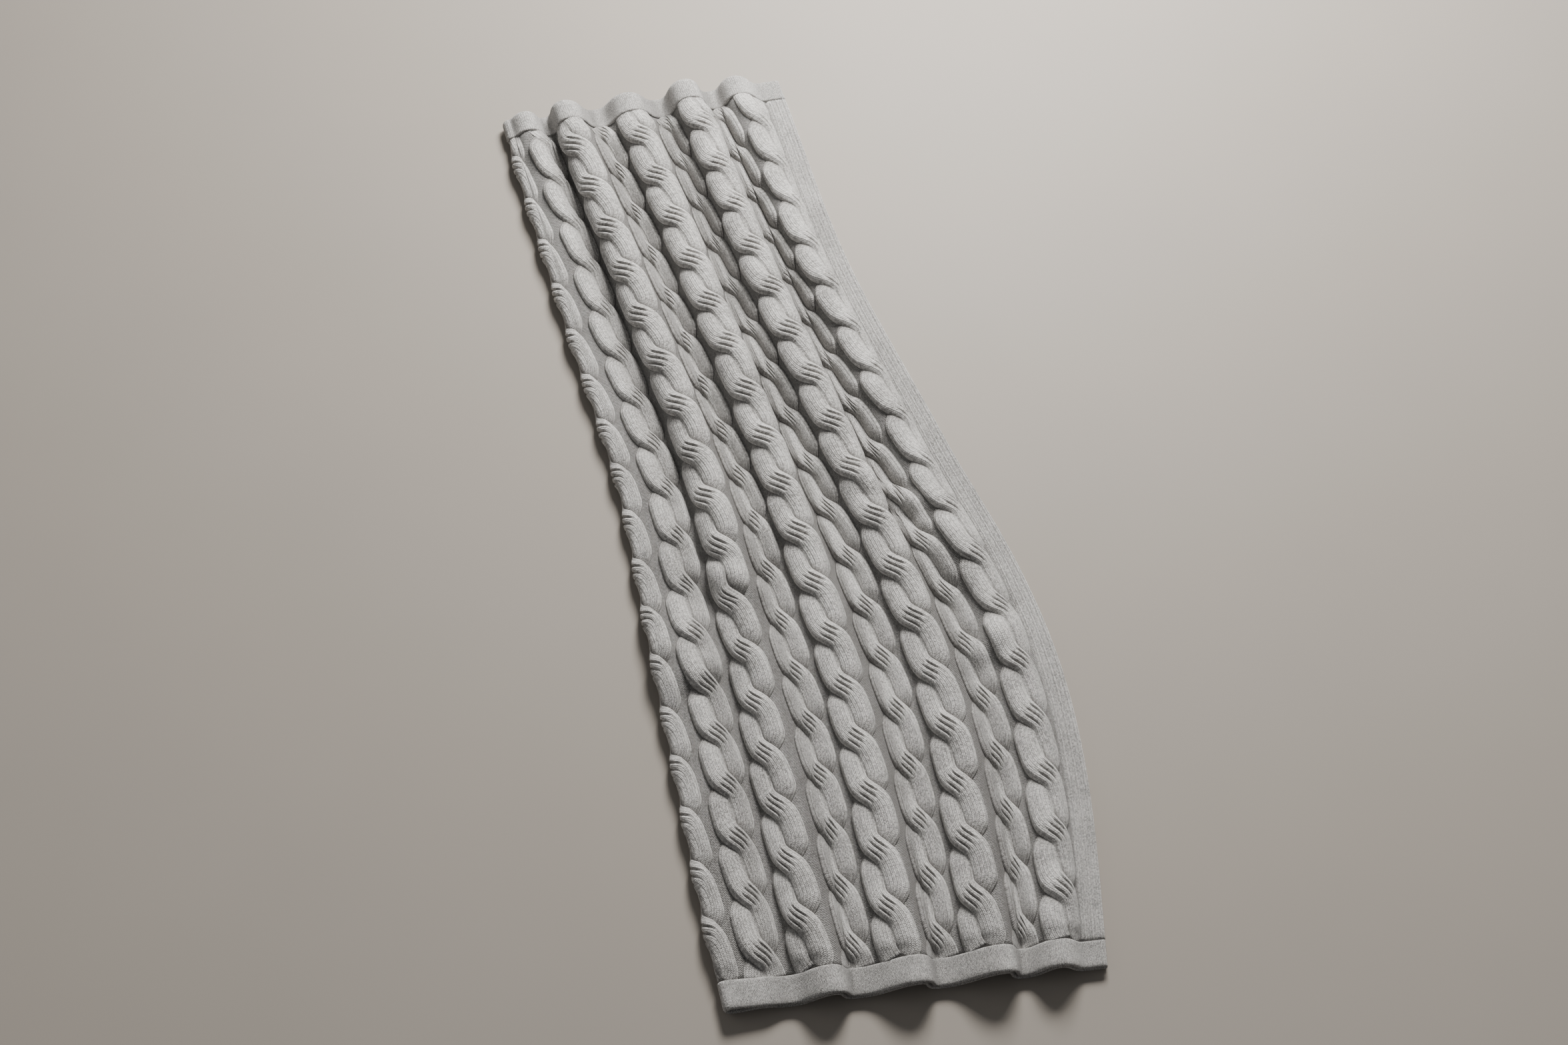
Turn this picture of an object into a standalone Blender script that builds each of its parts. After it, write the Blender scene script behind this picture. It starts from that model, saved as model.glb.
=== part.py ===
"""A chunky cable-knit throw, folded in half along its length and laid out on a floor in soft folds.

Frame: metres, +Z up with the floor at z = 0. +Y runs along the throw from its near end to its far end,
and +X runs across it, from the folded edge on the left to the side bands on the right.

The cloth has coordinates of its own. "across" is 0 on the folded edge. It grows to HALF_WIDTH at the
upper layer's side edge, and falls to -HALF_WIDTH at the lower layer's side edge. "along" is 0 at the
near end and THROW_LENGTH at the far end. Both are lengths of cloth, so folds draw the throw in.

The pieces are the knitted cable panel with its plain side bands, and a doubled band linked to each end.
"""

import math

import bpy
import numpy as np

# The flat cut
THROW_LENGTH = 1.80
COLUMN_PITCH = 0.078  # from one cable to the next
WHOLE_CABLES = 8  # on each side of the cable that the fold halves
SIDE_BAND = 0.037
HALF_WIDTH = (WHOLE_CABLES + 0.5) * COLUMN_PITCH + SIDE_BAND
END_BAND = 0.045
SEAM_GAP = 0.0004
PANEL_LENGTH = THROW_LENGTH - 2 * END_BAND
CROSSINGS = 17.5  # cable crossings in the panel's length
CROSSING_PITCH = PANEL_LENGTH / CROSSINGS
ODD_CROSSING = 0.35  # an odd cable's first crossing above the near band, in crossing pitches

# Thicknesses
GROUND = 0.0035  # the purl ground between the cables
LOWER = 0.006  # the lower layer, pressed flat on the floor
BAND = 0.007  # an end band, which is doubled
SIDE_BAND_THICK = 0.0045
HALF_GAP = 0.0015  # half of the air between the two layers
ROLL = 0.007  # inner radius of the folded edge
ROLL_FADE = 0.055  # how far in the layers take to close up
EDGE_ARC = ROLL * math.pi / 2  # cloth on one side of the folded edge, round a quarter turn
LAID_WIDTH = HALF_WIDTH - EDGE_ARC
SQUEEZE = 0.8  # a cable takes up at most this share of the room inside a sharp valley
SQUEEZE_POWER = 4  # how suddenly the squeeze sets in
PRESSED = 0.0008  # cloth that comes this near to the floor is pressed flat on it

# How it lies. Each list in these tables has one value for each station along the cloth.
STATIONS = (0.0, 0.50, 0.95, 1.35, 1.80)
MIDDLE_X = (0.122, 0.102, 0.017, -0.083, -0.169)  # the middle of the throw, seen from above
NEAR_Y = -0.894  # where that middle starts, at the near end
TURN_SHARE = 0.5  # how far the rows turn with the middle line, from 0, sheared, to 1, square to it
STEEP_LIMIT = 1.5  # the steepest that a fold's side may stand, in radians

# Folds that run along the throw: where each starts, crests and ends across the cloth, and its rise.
FOLDS = (
    {
        "start": (0.000, 0.000, 0.000, 0.000, 0.000),
        "crest": (0.052, 0.054, 0.046, 0.042, 0.044),
        "end": (0.090, 0.094, 0.086, 0.082, 0.086),
        "rise": (0.008, 0.010, 0.010, 0.014, 0.027),
    },
    {
        "start": (0.096, 0.100, 0.090, 0.086, 0.092),
        "crest": (0.172, 0.170, 0.158, 0.153, 0.154),
        "end": (0.218, 0.220, 0.218, 0.222, 0.226),
        "rise": (0.031, 0.018, 0.036, 0.042, 0.043),
    },
    {
        "start": (0.228, 0.232, 0.230, 0.230, 0.234),
        "crest": (0.328, 0.312, 0.304, 0.304, 0.304),
        "end": (0.374, 0.366, 0.362, 0.366, 0.370),
        "rise": (0.032, 0.020, 0.036, 0.040, 0.036),
    },
    {
        "start": (0.384, 0.386, 0.374, 0.374, 0.378),
        "crest": (0.486, 0.474, 0.458, 0.454, 0.452),
        "end": (0.534, 0.528, 0.518, 0.526, 0.522),
        "rise": (0.034, 0.026, 0.042, 0.050, 0.048),
    },
    {
        "start": (0.540, 0.540, 0.528, 0.534, 0.532),
        "crest": (0.602, 0.602, 0.594, 0.594, 0.588),
        "end": (0.656, 0.654, 0.654, 0.658, 0.650),
        "rise": (0.030, 0.019, 0.034, 0.040, 0.034),
    },
)

# Swells that run across the throw, where it was bunched: middle across and along, half sizes and rise.
SWELLS = (
    {"across": 0.040, "along": 0.650, "half_across": 0.120, "half_along": 0.110, "rise": 0.012},
    {"across": 0.170, "along": 0.850, "half_across": 0.150, "half_along": 0.100, "rise": 0.011},
    {"across": 0.570, "along": 0.740, "half_across": 0.130, "half_along": 0.110, "rise": 0.012},
    {"across": 0.330, "along": 1.180, "half_across": 0.160, "half_along": 0.120, "rise": 0.010},
)

# One cable from crossing to crossing, a row for each quarter of the pitch, going away from the near
# end: half-width of the left foot, then across and height of three points, then the right foot. The
# front strand comes down from the upper left to the lower right.
CABLE_ROWS = (
    {"left": 0.028, "points": ((-0.018, 0.0095), (0.000, 0.0130), (0.018, 0.0095)), "right": 0.028},
    {"left": 0.034, "points": ((-0.023, 0.0110), (-0.003, 0.0100), (0.021, 0.0075)), "right": 0.031},
    {"left": 0.034, "points": ((-0.024, 0.0095), (0.000, 0.0070), (0.024, 0.0095)), "right": 0.034},
    {"left": 0.031, "points": ((-0.021, 0.0075), (0.003, 0.0100), (0.023, 0.0110)), "right": 0.034},
)
SEAM_HEIGHT = 0.6  # a cable's height at the end bands, as a share
SEAM_FADE = 0.03

# An end band's section from the seam over its outer face and round its soft edge, as shares of its
# depth from that edge and of its thickness.
BAND_SECTION = (
    {"in": 1.00, "out": 0.00},
    {"in": 1.00, "out": 0.90},
    {"in": 0.50, "out": 1.00},
    {"in": 0.10, "out": 0.85},
    {"in": 0.00, "out": 0.45},
    {"in": 0.10, "out": 0.00},
)

# Mesh steps
FINE = 0.002  # the step that the section is worked out in
CELLS = 5  # cells across each cable and its share of the ground
COARSE_ALONG = 16  # cells along the panel
LEAST_STEP = 0.003  # the least distance between two points across

WOOL = (0.56, 0.55, 0.53, 1.0)
BAND_WOOL = (0.54, 0.53, 0.51, 1.0)


def eased(values, along):
    """A table list's value at each place along the throw, on a smooth curve through the stations."""
    slope = np.gradient(values, STATIONS)
    i = np.clip(np.searchsorted(STATIONS, along, side="right") - 1, 0, len(STATIONS) - 2)
    length = np.diff(STATIONS)[i]
    share = (along - np.take(STATIONS, i)) / length
    near, far = np.take(values, i), np.take(values, i + 1)
    near_slope, far_slope = slope[i] * length, slope[i + 1] * length
    change = far - near
    cubed = near_slope + far_slope - 2 * change
    squared = 3 * change - 2 * near_slope - far_slope
    return near + share * (near_slope + share * (squared + share * cubed))


def summed(values, step, axis):
    """The running integral along an axis, starting at 0."""
    trapezia = np.cumsum(values, axis) - values / 2
    return (trapezia - np.take(trapezia, [0], axis)) * step


def steepest(ratio):
    """The steepest angle of a fold's side whose rise is this share of its width of cloth."""
    angles = np.linspace(0, STEEP_LIMIT, 76)
    middles = (np.arange(180) + 0.5) / 180
    lifts = np.sin(angles[:, None] * np.sin(math.pi * middles)).mean(1)
    return np.interp(ratio, lifts, angles)


def slopes(across, along):
    """The slope angle of the laid cloth, and its curvature, at each along and across."""
    angle = np.zeros((len(along), len(across)))
    bend = np.zeros_like(angle)
    for fold in FOLDS:
        start, crest, end, rise = (eased(fold[k], along)[:, None] for k in ("start", "crest", "end", "rise"))
        for low, high, sign in ((start, crest, 1), (crest, end, -1)):
            width = high - low
            most = sign * steepest(rise / width)
            share = (across - low) / width
            inside = (share > 0) & (share < 1)
            angle += np.where(inside, most * np.sin(math.pi * share), 0)
            bend += np.where(inside, most * math.pi / width * np.cos(math.pi * share), 0)
    return angle, bend


def hump(share):
    return np.where(np.abs(share) < 1, np.cos(math.pi / 2 * np.clip(share, -1, 1)) ** 2, 0)


def middle_line():
    """Where the throw's middle lies, seen from above: along, x, y and the angle that its rows turn."""
    along = np.linspace(0, THROW_LENGTH, 721)
    x = eased(MIDDLE_X, along)
    lean = np.gradient(x, along)
    y = summed(np.sqrt(1 - lean**2), along[1], 0)
    return along, x, NEAR_Y + y, -TURN_SHARE * np.arcsin(lean)


def cloth(across_nodes, along_nodes):
    """The inner face of the folded throw on a grid of cloth coordinates: points, outward normals, and
    how sharply the cloth closes in on its outer side."""
    fine = np.linspace(0, LAID_WIDTH, round(LAID_WIDTH / FINE) + 1)
    angle, bend = slopes(fine, along_nodes)
    reach = summed(np.cos(angle), fine[1], 1)
    lift = summed(np.sin(angle), fine[1], 1)
    line, line_x, line_y, line_turn = middle_line()
    middle_x, middle_y, turn = (np.interp(along_nodes, line, t) for t in (line_x, line_y, line_turn))

    inward = np.maximum(np.abs(across_nodes) - EDGE_ARC, 0)
    side = np.clip(across_nodes / EDGE_ARC, -1, 1)
    points = np.zeros((len(along_nodes), len(across_nodes), 3))
    closing = np.zeros(points.shape[:2])
    for i, along in enumerate(along_nodes):
        flat = np.interp(inward, fine, reach[i]) - reach[i, -1] / 2
        slope = np.interp(inward, fine, angle[i])
        close = np.clip(inward / ROLL_FADE, 0, 1)
        gap = ROLL + (HALF_GAP - ROLL) * close * close * (3 - 2 * close)
        height = LOWER + gap + np.interp(inward, fine, lift[i])
        for swell in SWELLS:
            height += (
                swell["rise"]
                * hump((inward - swell["across"]) / swell["half_across"])
                * hump((along - swell["along"]) / swell["half_along"])
            )
        round_edge = side * math.pi / 2
        flat -= gap * np.where(inward > 0, side * np.sin(slope), np.cos(round_edge))
        height += gap * np.where(inward > 0, side * np.cos(slope), np.sin(round_edge))
        points[i, :, 0] = middle_x[i] + flat * math.cos(turn[i])
        points[i, :, 1] = middle_y[i] + flat * math.sin(turn[i])
        points[i, :, 2] = height
        closing[i] = np.maximum(0, side * np.interp(inward, fine, bend[i])) * (inward > 0)
    normals = np.cross(np.gradient(points, axis=1), np.gradient(points, axis=0))
    normals /= np.linalg.norm(normals, axis=2, keepdims=True)
    return points, normals, closing


class Laid:
    """The laid cloth, as flat facets between a grid of nodes."""

    def __init__(self, across_nodes, along_nodes):
        self.across, self.along = np.array(across_nodes), np.array(along_nodes)
        points, normals, closing = cloth(self.across, self.along)
        self.grid = np.concatenate([points, normals, closing[:, :, None]], 2)

    def place(self, across, along, thick):
        """The points that stand this far out from the inner face at these cloth coordinates."""
        across, along, thick = np.broadcast_arrays(across, along, thick)
        i = np.clip(np.searchsorted(self.along, along, side="right") - 1, 0, len(self.along) - 2)
        j = np.clip(np.searchsorted(self.across, across, side="right") - 1, 0, len(self.across) - 2)
        s = ((along - self.along[i]) / (self.along[i + 1] - self.along[i]))[..., None]
        t = ((across - self.across[j]) / (self.across[j + 1] - self.across[j]))[..., None]
        near = self.grid[i, j] * (1 - t) + self.grid[i, j + 1] * t
        far = self.grid[i + 1, j] * (1 - t) + self.grid[i + 1, j + 1] * t
        at = near * (1 - s) + far * s
        crowd = at[..., 6] * thick / SQUEEZE
        squeezed = thick / (1 + crowd**SQUEEZE_POWER) ** (1 / SQUEEZE_POWER)
        at = at[..., :3] + at[..., 3:6] * squeezed[..., None]
        at[..., 2] = np.where(at[..., 2] < PRESSED, 0, at[..., 2])
        return at


def across_nodes():
    """Cloth coordinates across both layers, close together round the folded edge."""
    cables = [n * COLUMN_PITCH / CELLS for n in range(2, math.ceil(CELLS * (WHOLE_CABLES + 0.5)))]
    band = [HALF_WIDTH - SIDE_BAND, HALF_WIDTH - SIDE_BAND / 2, HALF_WIDTH]
    side = [EDGE_ARC / 2, EDGE_ARC, *cables, *band]
    return [-a for a in side[::-1]] + [0.0] + side


def along_nodes():
    panel = np.linspace(END_BAND, THROW_LENGTH - END_BAND, COARSE_ALONG + 1)
    return [0.0, *panel, THROW_LENGTH]


def panel_rows():
    """Where the panel's fine rows lie along the cloth, with the quarter of the pitch each one is at."""
    start = END_BAND + SEAM_GAP / 2
    end = THROW_LENGTH - END_BAND - SEAM_GAP / 2
    quarters = range(round(4 * CROSSINGS))
    rows = [(END_BAND + (q / 4 + ODD_CROSSING - 0.25) * CROSSING_PITCH, q - 1) for q in quarters]
    return [(start, rows[0][1]), *rows, (end, rows[-1][1])]


def panel_row(quarter, share):
    """(across, thickness) of the upper layer's outer face at one row, from the folded edge out."""
    made = []
    for cable in range(WHOLE_CABLES + 1):
        row = CABLE_ROWS[(quarter + (0 if cable % 2 else 2)) % 4]
        middle = cable * COLUMN_PITCH
        section = [(-row["left"], 0.0), *row["points"], (row["right"], 0.0)]
        made += [(middle + x, GROUND + share * h) for x, h in section]
    # The fold halves the first cable, so its row starts on the folded edge.
    crown = np.interp(0, [x for x, _ in made], [h for _, h in made])
    turning = np.interp(EDGE_ARC, [x for x, _ in made], [h for _, h in made])
    made = [(0.0, crown), (EDGE_ARC, turning)] + [p for p in made if p[0] > EDGE_ARC + LEAST_STEP]
    band = HALF_WIDTH - SIDE_BAND
    return made + [(band, GROUND), (band + LEAST_STEP, SIDE_BAND_THICK), (HALF_WIDTH, SIDE_BAND_THICK)]


def grid_faces(numbers):
    """Triangles between rows of point numbers, split along the way that the front strands run."""
    faces = []
    for near, far in zip(numbers, numbers[1:]):
        for j in range(len(near) - 1):
            faces.append((near[j], near[j + 1], far[j]))
            faces.append((near[j + 1], far[j + 1], far[j]))
    return faces


def zipped(one, one_places, other, other_places):
    """Triangles that join two runs of point numbers, which take their next point in order of place."""
    faces = []
    i = j = 0
    while i < len(one) - 1 or j < len(other) - 1:
        if j == len(other) - 1 or (i < len(one) - 1 and one_places[i + 1] <= other_places[j + 1]):
            faces.append((one[i], one[i + 1], other[j]))
            i += 1
        else:
            faces.append((one[i], other[j + 1], other[j]))
            j += 1
    return faces


def add_piece(name, points, faces, colour, collection):
    """One closed piece, its faces turned outwards, in a material of its own."""
    mesh = bpy.data.meshes.new(name)
    mesh.from_pydata([tuple(p) for p in points], [], faces)
    mesh.validate()
    piece = bpy.data.objects.new(name, mesh)
    collection.objects.link(piece)
    bpy.context.view_layer.objects.active = piece
    bpy.ops.object.mode_set(mode="EDIT")
    bpy.ops.mesh.select_all(action="SELECT")
    bpy.ops.mesh.normals_make_consistent(inside=False)
    bpy.ops.object.mode_set(mode="OBJECT")
    mesh.shade_smooth()
    mesh.set_sharp_from_angle(angle=math.radians(50))
    material = bpy.data.materials.new(name)
    material.use_nodes = True
    shader = material.node_tree.nodes["Principled BSDF"]
    shader.inputs["Base Color"].default_value = colour
    shader.inputs["Roughness"].default_value = 0.95
    shader.inputs["Metallic"].default_value = 0.0
    mesh.materials.append(material)
    return piece


def numbered(count, shape):
    """Point numbers for a grid that follows count points already made."""
    return (count + np.arange(shape[0] * shape[1]).reshape(shape)).tolist()


def add_panel(laid, collection):
    """The cable panel: a fine upper face with its cables, and coarse inner and lower faces."""
    rows = panel_rows()
    upper = []
    for along, quarter in rows:
        from_seam = min(along - END_BAND, THROW_LENGTH - END_BAND - along)
        share = SEAM_HEIGHT + (1 - SEAM_HEIGHT) * min(from_seam / SEAM_FADE, 1)
        across, thick = np.array(panel_row(quarter, share)).T
        upper.append(laid.place(across, along, thick))
    coarse_along = laid.along[1:-1].copy()
    coarse_along[[0, -1]] = rows[0][0], rows[-1][0]
    lower_across = laid.across[laid.across < 0]
    inner = laid.place(laid.across, coarse_along[1:-1, None], 0)
    lower = laid.place(lower_across, coarse_along[:, None], LOWER)
    outer_across = [list(lower_across) + [a for a, _ in panel_row(rows[end][1], 1)] for end in (0, -1)]
    rim_across = [sorted({*laid.across, *places}) for places in outer_across]
    rims = [laid.place(rim_across[end], rows[end][0], 0) for end in (0, -1)]

    points = np.concatenate([*upper, inner.reshape(-1, 3), lower.reshape(-1, 3), *rims])
    starts = np.cumsum([0, len(rows) * len(upper[0]), inner[..., 0].size, lower[..., 0].size, len(rims[0])])
    up = numbered(starts[0], (len(rows), len(upper[0])))
    into = numbered(starts[1], inner.shape[:2])
    down = numbered(starts[2], lower.shape[:2])
    rim = [numbered(starts[3], (1, len(rims[0])))[0], numbered(starts[4], (1, len(rims[1])))[0]]

    fine_along = [along for along, _ in rows]
    faces = grid_faces(up) + grid_faces(into) + grid_faces(down)
    faces += zipped([r[0] for r in up], fine_along, [r[-1] for r in down], coarse_along)
    for outer, places, side in ((up, fine_along, -1), (down, coarse_along, 0)):
        inside = [rim[0][side], *(r[side] for r in into), rim[1][side]]
        faces += zipped([r[side] for r in outer], places, inside, coarse_along)
    for end in (0, -1):
        places = np.array(outer_across[end])
        halfway = np.append(places[0], (places[1:] + places[:-1]) / 2)
        faces += zipped(rim[end], rim_across[end], down[end] + up[end], halfway)
    # The two ends are zipped from opposite sides, so that both keep to the grid's diagonals.
    faces += zipped(rim[0], rim_across[0], into[0], laid.across)
    faces += zipped(rim[1][::-1], -np.array(rim_across[1][::-1]), into[-1][::-1], -laid.across[::-1])
    return add_piece("cable_panel", points, faces, WOOL, collection)


def add_end_band(name, edge, seam, laid, collection):
    """A doubled band round both layers, from its soft outer edge to the seam with the panel."""
    inward = 1 if seam > edge else -1
    depth = abs(seam - edge) - SEAM_GAP / 2
    along = edge + inward * depth * np.array([p["in"] for p in BAND_SECTION])
    out = np.array([p["out"] for p in BAND_SECTION])
    thick = np.where(laid.across < 0, LOWER, BAND)[:, None] * out
    points = laid.place(laid.across[:, None], along, thick).reshape(-1, 3)
    rings = numbered(0, thick.shape)
    faces = grid_faces([ring + ring[:1] for ring in rings]) + [tuple(rings[0]), tuple(rings[-1])]
    return add_piece(name, points, faces, BAND_WOOL, collection)


def main():
    for old in list(bpy.data.objects):
        bpy.data.objects.remove(old)
    collection = bpy.data.collections.new("cable_knit_throw")
    bpy.context.scene.collection.children.link(collection)
    laid = Laid(across_nodes(), along_nodes())
    add_panel(laid, collection)
    add_end_band("near_end_band", 0.0, END_BAND, laid, collection)
    add_end_band("far_end_band", THROW_LENGTH, THROW_LENGTH - END_BAND, laid, collection)


main()
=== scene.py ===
"""The looks of a chunky cable-knit throw, folded in half lengthwise and laid out in soft folds.

The cloth has coordinates of its own. "across" is 0 on the folded edge. It grows to HALF_WIDTH at the
upper layer's side edge, and falls to -HALF_WIDTH at the lower layer's side edge. "along" is 0 at the
near end and THROW_LENGTH at the far end. "thick" is how far a point stands out from the inner face.

Each cable is two strands that swap sides at every crossing. Places along a strand are in crossing
pitches from the nearest crossing where it is in front: negative towards the near end, and 1 or -1
where it passes behind. "w" is a place across a strand, from -1 to 1.
"""

import math

import bpy
import numpy as np
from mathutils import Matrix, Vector

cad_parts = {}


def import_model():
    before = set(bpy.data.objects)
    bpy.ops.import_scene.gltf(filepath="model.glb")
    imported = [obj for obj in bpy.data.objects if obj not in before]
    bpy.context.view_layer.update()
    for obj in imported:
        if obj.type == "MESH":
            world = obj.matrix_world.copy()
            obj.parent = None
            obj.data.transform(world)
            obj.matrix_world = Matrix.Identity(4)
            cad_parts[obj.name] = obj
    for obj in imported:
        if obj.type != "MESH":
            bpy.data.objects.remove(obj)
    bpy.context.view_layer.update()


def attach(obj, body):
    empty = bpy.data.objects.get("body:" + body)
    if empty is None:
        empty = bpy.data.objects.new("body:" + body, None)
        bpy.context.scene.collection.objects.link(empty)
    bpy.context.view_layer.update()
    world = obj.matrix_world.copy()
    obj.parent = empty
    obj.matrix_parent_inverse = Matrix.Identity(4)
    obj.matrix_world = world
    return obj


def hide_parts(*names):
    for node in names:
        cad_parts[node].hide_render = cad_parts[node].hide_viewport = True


# The flat cut, as in the solids
THROW_LENGTH = 1.80
COLUMN_PITCH = 0.078
WHOLE_CABLES = 8  # on each layer, beside the half of one that the folded edge gives it
SIDE_BAND = 0.037
SIDE_SEAM = (WHOLE_CABLES + 0.5) * COLUMN_PITCH
HALF_WIDTH = SIDE_SEAM + SIDE_BAND
END_BAND = 0.045
PANEL_LENGTH = THROW_LENGTH - 2 * END_BAND
CROSSINGS = 17.5
CROSSING_PITCH = PANEL_LENGTH / CROSSINGS
ODD_CROSSING = 0.35  # an odd and an even cable's first crossing, in pitches from the near end band
EVEN_CROSSING = 0.85

# Thicknesses, as in the solids
GROUND = 0.0035
LOWER = 0.006  # the lower layer, pressed flat
BAND = 0.007
SIDE_BAND_THICK = 0.0045
HALF_GAP = 0.0015  # half the gap between the layers
ROLL = 0.007  # the same at the round folded edge, and how far in from there it narrows
ROLL_FADE = 0.055
EDGE_ARC = ROLL * math.pi / 2
LAID_WIDTH = HALF_WIDTH - EDGE_ARC
SQUEEZE = 0.8  # how much of a tight bend's radius the knit may fill, and how suddenly it stops there
SQUEEZE_POWER = 4

# How it lies, as in the solids: a value for each station along the cloth
STATIONS = (0.0, 0.50, 0.95, 1.35, 1.80)
MIDDLE_X = (0.122, 0.102, 0.017, -0.083, -0.169)
NEAR_Y = -0.894
TURN_SHARE = 0.5  # how much of the middle line's turn the rows take
STEEP_LIMIT = 1.5  # the steepest that a fold's side can be, in radians
# Each fold's start, crest and end across the cloth, and its rise
FOLDS = (
    {
        "start": (0.000, 0.000, 0.000, 0.000, 0.000),
        "crest": (0.052, 0.054, 0.046, 0.042, 0.044),
        "end": (0.090, 0.094, 0.086, 0.082, 0.086),
        "rise": (0.008, 0.010, 0.010, 0.014, 0.027),
    },
    {
        "start": (0.096, 0.100, 0.090, 0.086, 0.092),
        "crest": (0.172, 0.170, 0.158, 0.153, 0.154),
        "end": (0.218, 0.220, 0.218, 0.222, 0.226),
        "rise": (0.031, 0.018, 0.036, 0.042, 0.043),
    },
    {
        "start": (0.228, 0.232, 0.230, 0.230, 0.234),
        "crest": (0.328, 0.312, 0.304, 0.304, 0.304),
        "end": (0.374, 0.366, 0.362, 0.366, 0.370),
        "rise": (0.032, 0.020, 0.036, 0.040, 0.036),
    },
    {
        "start": (0.384, 0.386, 0.374, 0.374, 0.378),
        "crest": (0.486, 0.474, 0.458, 0.454, 0.452),
        "end": (0.534, 0.528, 0.518, 0.526, 0.522),
        "rise": (0.034, 0.026, 0.042, 0.050, 0.048),
    },
    {
        "start": (0.540, 0.540, 0.528, 0.534, 0.532),
        "crest": (0.602, 0.602, 0.594, 0.594, 0.588),
        "end": (0.656, 0.654, 0.654, 0.658, 0.650),
        "rise": (0.030, 0.019, 0.034, 0.040, 0.034),
    },
)

# Swells that run across the throw, where it was bunched: middle across and along, half sizes and rise.
SWELLS = (
    {"across": 0.040, "along": 0.650, "half_across": 0.120, "half_along": 0.110, "rise": 0.012},
    {"across": 0.170, "along": 0.850, "half_across": 0.150, "half_along": 0.100, "rise": 0.011},
    {"across": 0.570, "along": 0.740, "half_across": 0.130, "half_along": 0.110, "rise": 0.012},
    {"across": 0.330, "along": 1.180, "half_across": 0.160, "half_along": 0.120, "rise": 0.010},
)
# Small creases in the upper layer alone, each a soft ridge at an angle from the rows, in degrees
CREASES = (
    {"across": 0.060, "along": 0.590, "angle": 30, "half_long": 0.110, "half_wide": 0.040, "rise": 0.0095},
    {"across": 0.150, "along": 0.760, "angle": -30, "half_long": 0.150, "half_wide": 0.040, "rise": 0.0110},
    {"across": 0.590, "along": 0.560, "angle": 24, "half_long": 0.110, "half_wide": 0.036, "rise": 0.0100},
    {"across": 0.530, "along": 0.860, "angle": -26, "half_long": 0.140, "half_wide": 0.036, "rise": 0.0115},
    {"across": 0.230, "along": 0.320, "angle": 70, "half_long": 0.110, "half_wide": 0.030, "rise": 0.0040},
    {"across": 0.390, "along": 0.230, "angle": 105, "half_long": 0.120, "half_wide": 0.030, "rise": 0.0045},
)

# The shade at the foot of a fold's steep side, where the fold hangs over it
OVERHANG_SHADE = 0.66
OVERHANG_START = 0.30  # how far down that side it starts and is full, as shares
OVERHANG_FULL = 0.62
HIGHEST_RISE = 0.050  # the rise that gives the whole of it
FOOT = 0.022  # how far past the fold's foot it reaches

# A cable's course, in cloth
COLUMN_SHIFTS = (0, 0, 0, 0.004, 0, 0.004, 0, 0.004, 0)  # how uneven their spacing is
WANDER = 0.0015  # how far each one strays from a straight column
WANDER_POINTS = 19
SIDEWAYS = 0.0192  # how far a strand's middle stands from its cable's
HALF_STRAND = 0.0166
FRONT_SPREAD = 0.20  # how much wider a strand is as it crosses in front
FRONT_SPREAD_REACH = 0.26
FRONT_SWAP = 0.18  # how far each way from a crossing a strand mostly changes sides
DRIFT_SHARE = 0.42  # the share of its way that it drifts more slowly, and how far each way that goes on
DRIFT = 0.80
BACK_SWAP = 0.36  # how far each way from a crossing it changes sides behind

# A strand's height over the ground
LOBE_HEIGHT = 0.0092
FRONT_RISE = 0.0038  # how much higher it is where it crosses in front, and how far each way
FRONT_RISE_REACH = 0.24
BACK_FALL = 0.0090  # how much lower it is where it passes behind, and how far each way
BACK_FALL_REACH = 0.20
FLAT_TOP = 3.8  # the powers that shape its section: how flat its top is, and how steep its sides
STEEP_SIDE = 0.62
SINK = 0.0004  # how far its edges lie in the ground
EDGE_PRESS = 0.35  # how much flatter the strands are over the folded edge, and how far from it
EDGE_REACH = 0.030
SEAM_HEIGHT = 0.28  # a cable's height at the end bands, as a share, and how far it takes to grow
SEAM_FADE = 0.03

# Where the two strands lie side by side, they merge into one soft lobe.
MERGED_FAR = (0.20, 0.50)  # where that starts and is full, on the far side of a strand's crossing
MERGED_NEAR = (0.09, 0.32)
MERGED_BACK = (0.10, 0.34)  # and from where it passes behind
INNER_SPREAD = 0.21  # how much further a strand reaches where it meets the other beside it
VALLEY = 0.80  # how much lower than their crests the strands meet
VALLEY_POWER = 1.7

# Where the front strand parts between its rolls at a crossing
SLITS = (
    {"w": -0.42, "shift": -0.045, "half_long": 0.150},
    {"w": 0.02, "shift": 0.000, "half_long": 0.175},
    {"w": 0.42, "shift": 0.045, "half_long": 0.155},
)
SLIT_HALF_WIDTH = 0.058  # in w
SLIT_DEPTH = 0.0052
SLIT_BLUNT = 0.7  # the power that keeps a slit open towards its ends

# Shades from 0 to 1, where less light comes
GROUND_SHADE = 0.40  # on the ground between the cables
SLIT_SHADE = 0.65
TUCK_REACH = 0.20  # on the strand that passes behind, out to this far from the crossing
TUCK_POWER = 3
VALLEY_SHADE = 0.45
VALLEY_SHADE_POWER = 4
RIM_SHADE = 0.35  # at a strand's outer edges
RIM_SHADE_POWER = 10
BESIDE_REACH = 0.0042  # beside the edge of a strand in front
BESIDE_FAR = 0.42  # how far from the crossing that shade goes on, towards the far end and the near end
BESIDE_NEAR = 0.25
BESIDE_POWER = 6
UNSHADED_FRONT = 0.30  # how far from its own crossing the front strand gets none of it

# How uneven the hand of the knit is
WOBBLE_POINTS = 40
WOBBLE_WIDTH = 0.0003
WOBBLE_HEIGHT = 0.035
STRETCH_POINTS = 22
STRETCHES = (0.85, 1.25)  # how long the slits are, as a share

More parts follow.
